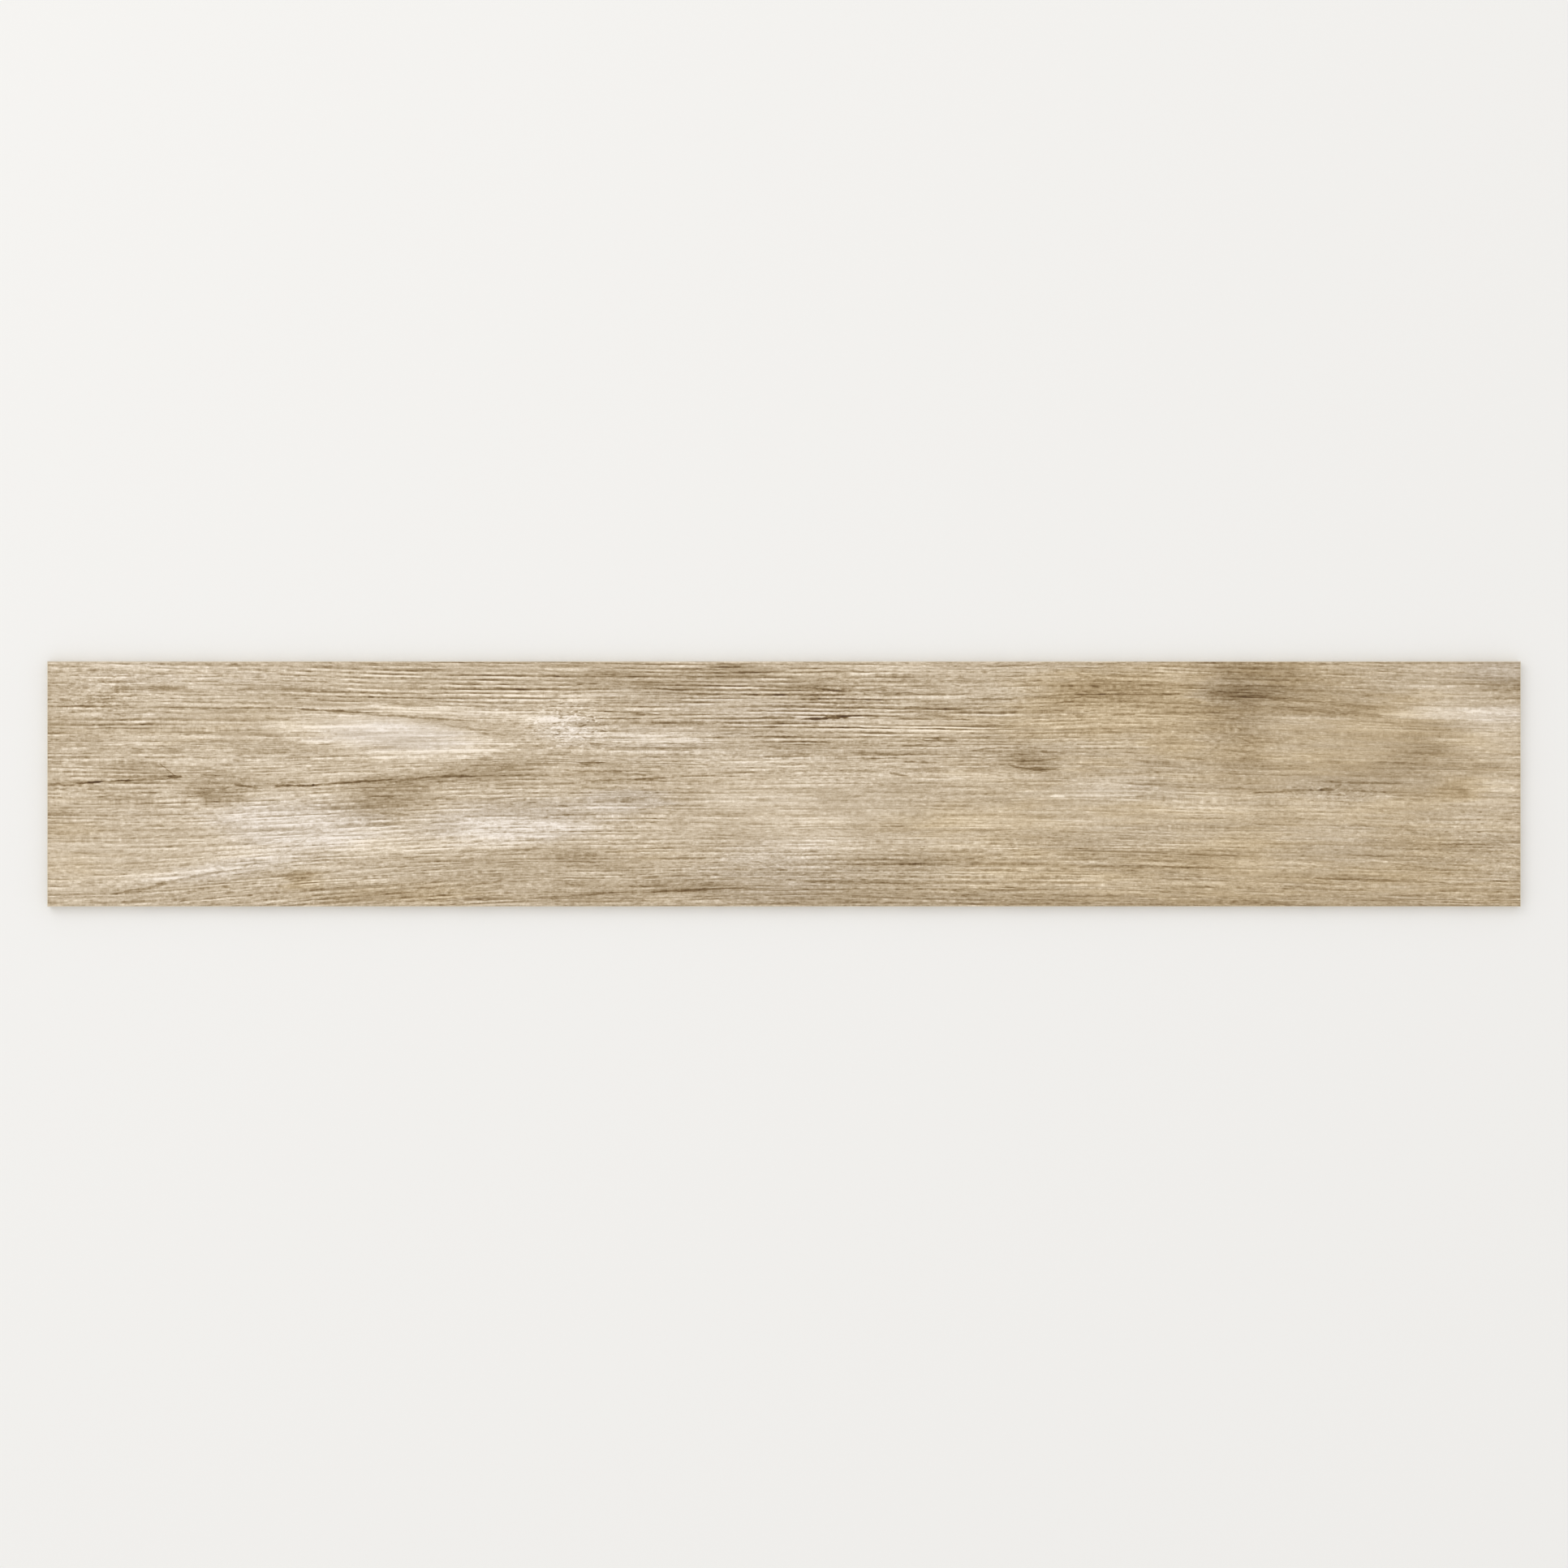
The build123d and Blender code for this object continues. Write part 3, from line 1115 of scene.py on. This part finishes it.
# Where each zone lies on the map named OFBake: left, right, bottom and top, from 0 to 1. The face gets
# most of it, because its grain is finest across the plank.
MAP_FACE = (0.002, 0.998, 0.004, 0.720)
MAP_BACK = (0.002, 0.998, 0.730, 0.925)
MAP_EDGES = [
    (0.002, 0.998, 0.934, 0.952),
    (0.002, 0.495, 0.978, 0.996),
    (0.002, 0.998, 0.956, 0.974),
    (0.505, 0.998, 0.978, 0.996),
]


def lay_out_map(mesh, points, zones):
    """Face and back are laid on the map as seen from above, the edges as seen from the side."""
    share = (points - np.array(LOW)) / (np.array(HIGH) - np.array(LOW))
    corners = np.empty(len(mesh.loops), dtype=np.int32)
    mesh.loops.foreach_get("vertex_index", corners)
    sizes = np.empty(len(mesh.polygons), dtype=np.int32)
    mesh.polygons.foreach_get("loop_total", sizes)
    corner_zones = np.repeat(zones, sizes)
    place = np.zeros((len(corners), 2))
    views = [(FACE, MAP_FACE, 0, 1), (BACK, MAP_BACK, 0, 1)]
    views += [(FIRST_EDGE + side, area, side % 2, 2) for side, area in enumerate(MAP_EDGES)]
    for zone, (left, right, bottom, top), across, up in views:
        inside = corner_zones == zone
        seen = share[corners[inside]]
        place[inside, 0] = left + (right - left) * seen[:, across]
        place[inside, 1] = bottom + (top - bottom) * seen[:, up]
    layer = mesh.uv_layers.new(name="OFBake")
    layer.uv.foreach_set("vector", place.astype(np.float32).ravel())


def face_points(low, high, layers):
    """A grid of points over the flat face, row by row, with the grain embossed into it."""
    x = np.linspace(low[0], high[0], CELLS_ALONG + 1)
    y = np.linspace(low[1], high[1], CELLS_ACROSS + 1)
    grid_x, grid_y = (g.ravel() for g in np.meshgrid(x, y))
    along, down = (grid_x - LOW.x) / MM, (HIGH.y - grid_y) / MM
    drawn = [line_field(along, down, marks) for marks in layers]
    grid_z = HIGH.z - emboss_depth(along, down, print_fields(along, down), drawn) * MM
    return list(zip(grid_x.tolist(), grid_y.tolist(), grid_z.tolist()))


def face_cells(first):
    """The grid's faces, and its border, side by side and anticlockwise from above."""
    def at(i, j):
        return first + j * (CELLS_ALONG + 1) + i

    cells = [
        [at(i, j), at(i + 1, j), at(i + 1, j + 1), at(i, j + 1)]
        for j in range(CELLS_ACROSS) for i in range(CELLS_ALONG)
    ]
    sides = [
        [at(i, 0) for i in range(CELLS_ALONG + 1)],
        [at(CELLS_ALONG, j) for j in range(CELLS_ACROSS + 1)],
        [at(i, CELLS_ACROSS) for i in range(CELLS_ALONG, -1, -1)],
        [at(0, j) for j in range(CELLS_ACROSS, -1, -1)],
    ]
    return cells, sides


def edge_feet(points):
    """The solid's points at the foot of the upright edges, one for each corner."""
    feet = {}
    for k, (x, y, _) in enumerate(points):
        for number, (corner_x, corner_y) in enumerate(CORNERS):
            if abs(x - corner_x) + abs(y - corner_y) < CLOSE:
                feet[number] = k
    return feet


def add_rims(points, sides, side_top):
    """Adds the points along the top of the upright edges, and gives them side by side."""
    rims = []
    for side, (corner, border) in enumerate(zip(CORNERS, sides)):
        rims.append([len(points) + k for k in range(len(border) - 1)])
        points.append((*corner, side_top))
        for k in border[1:-1]:
            x, y, _ = points[k]
            edge = ((x, LOW.y), (HIGH.x, y), (x, HIGH.y), (LOW.x, y))[side]
            points.append((*edge, side_top))
    for side in range(4):
        rims[side].append(rims[(side + 1) % 4][0])
    return rims


def plank_mesh():
    """The whole plank: embossed face, arris, upright edges, and the solid's own back."""
    face_low, face_high, side_bottom, side_top = solid_levels()
    layers = line_layers(LINES)

    points, faces = solid_below_edges(side_bottom)
    zones = [BACK] * len(faces)
    feet = edge_feet(points)

    cells, sides = face_cells(len(points))
    points += face_points(face_low, face_high, layers)
    faces += cells
    zones += [FACE] * len(cells)

    rims = add_rims(points, sides, side_top)
    for side, (rim, border) in enumerate(zip(rims, sides)):
        for k in range(len(rim) - 1):
            faces.append([rim[k], rim[k + 1], border[k + 1], border[k]])
        faces.append([feet[side], feet[(side + 1) % 4], *reversed(rim)])
        zones += [FIRST_EDGE + side] * len(rim)

    mesh = bpy.data.meshes.new("plank")
    mesh.from_pydata(points, [], faces)
    mesh.polygons.foreach_set("material_index", [min(zone, FIRST_EDGE) for zone in zones])
    mesh.polygons.foreach_set("use_smooth", [zone == FACE for zone in zones])
    carry_print(mesh, np.array(points), layers)
    lay_out_map(mesh, np.array(points), np.array(zones))
    mesh.set_sharp_from_angle(angle=SHARP_ANGLE)
    mesh.validate()
    return mesh


def carry_print(mesh, points, layers):
    """Gives every corner point of the mesh what the printed face's shader reads there."""
    along, down = (points[:, 0] - LOW.x) / MM, (HIGH.y - points[:, 1]) / MM
    fields = print_fields(along, down)
    for name in ("tone", "lined", "ruled", "warm", "worn"):
        carried = mesh.attributes.new(name, "FLOAT", "POINT")
        carried.data.foreach_set("value", fields[name].astype(np.float32))
    vectors = {f"lines_{k}": line_field(along, down, marks) for k, marks in enumerate(layers)}
    vectors["grain"] = np.stack([along, fields["across"], np.zeros(len(along))], 1) * MM
    for name, values in vectors.items():
        carried = mesh.attributes.new(name, "FLOAT_VECTOR", "POINT")
        carried.data.foreach_set("vector", values.astype(np.float32).ravel())


def build_plank():
    """The plank's one piece: it stands in for the solid and rides with it."""
    mesh = plank_mesh()
    for material in (face_material(), back_material(), edge_material()):
        mesh.materials.append(material)
    plank = bpy.data.objects.new("plank", mesh)
    bpy.context.scene.collection.objects.link(plank)
    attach(plank, "root")
    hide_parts(NODE)


FLOOR_HALF = 12.0
FLOOR_DROP = 0.05 * MM
FLOOR_COLOUR = srgb(246, 245, 243)
FLOOR_ROUGHNESS = 0.9
FLOOR_SHINE = 0.2


def build_floor():
    """A plain pale floor, just below the plank."""
    h = FLOOR_HALF
    corners = [(-h, -h), (h, -h), (h, h), (-h, h)]
    mesh = bpy.data.meshes.new("floor")
    mesh.from_pydata([(*c, LOW.z - FLOOR_DROP) for c in corners], [], [(0, 1, 2, 3)])
    m = Nodes("pale_floor")
    m.put(m.shader.inputs["Base Color"], FLOOR_COLOUR)
    m.put(m.shader.inputs["Roughness"], FLOOR_ROUGHNESS)
    m.put(m.shader.inputs["Specular IOR Level"], FLOOR_SHINE)
    mesh.materials.append(m.material)
    floor = bpy.data.objects.new("floor", mesh)
    bpy.context.scene.collection.objects.link(floor)


ROOM_COLOUR = (1.0, 0.995, 0.985, 1.0)
ROOM_STRENGTH = 0.86
SOFTBOX_SIZE = 3.0
SOFTBOX_WATTS = 34.0
SOFTBOX_PLACE = (-2.2, 2.4, 3.4)


def build_light():
    """Even light from all round, and a soft lamp from the upper left."""
    world = bpy.data.worlds.new("studio")
    world.use_nodes = True
    world.node_tree.nodes["Background"].inputs["Color"].default_value = ROOM_COLOUR
    world.node_tree.nodes["Background"].inputs["Strength"].default_value = ROOM_STRENGTH
    bpy.context.scene.world = world
    lamp = bpy.data.lights.new("softbox", "AREA")
    lamp.shape = "SQUARE"
    lamp.size = SOFTBOX_SIZE
    lamp.energy = SOFTBOX_WATTS
    softbox = bpy.data.objects.new("softbox", lamp)
    softbox.location = SOFTBOX_PLACE
    softbox.rotation_euler = (-softbox.location).to_track_quat("-Z", "Y").to_euler()
    bpy.context.scene.collection.objects.link(softbox)


# Share of the picture's width that the plank fills
PLANK_SHARE = 0.94
LENS_MM = 85.0
SENSOR_MM = 36.0


def build_camera():
    """Straight above the middle of the plank, with the plank's length across the picture."""
    lens = bpy.data.cameras.new("camera")
    lens.lens = LENS_MM
    lens.sensor_width = SENSOR_MM
    camera = bpy.data.objects.new("camera", lens)
    span = LENGTH / PLANK_SHARE
    camera.location = ((LOW.x + HIGH.x) / 2, (LOW.y + HIGH.y) / 2, HIGH.z + span * LENS_MM / SENSOR_MM)
    bpy.context.scene.collection.objects.link(camera)
    bpy.context.scene.camera = camera


build_plank()
build_floor()
build_light()
build_camera()
bpy.context.scene.view_settings.view_transform = "Standard"
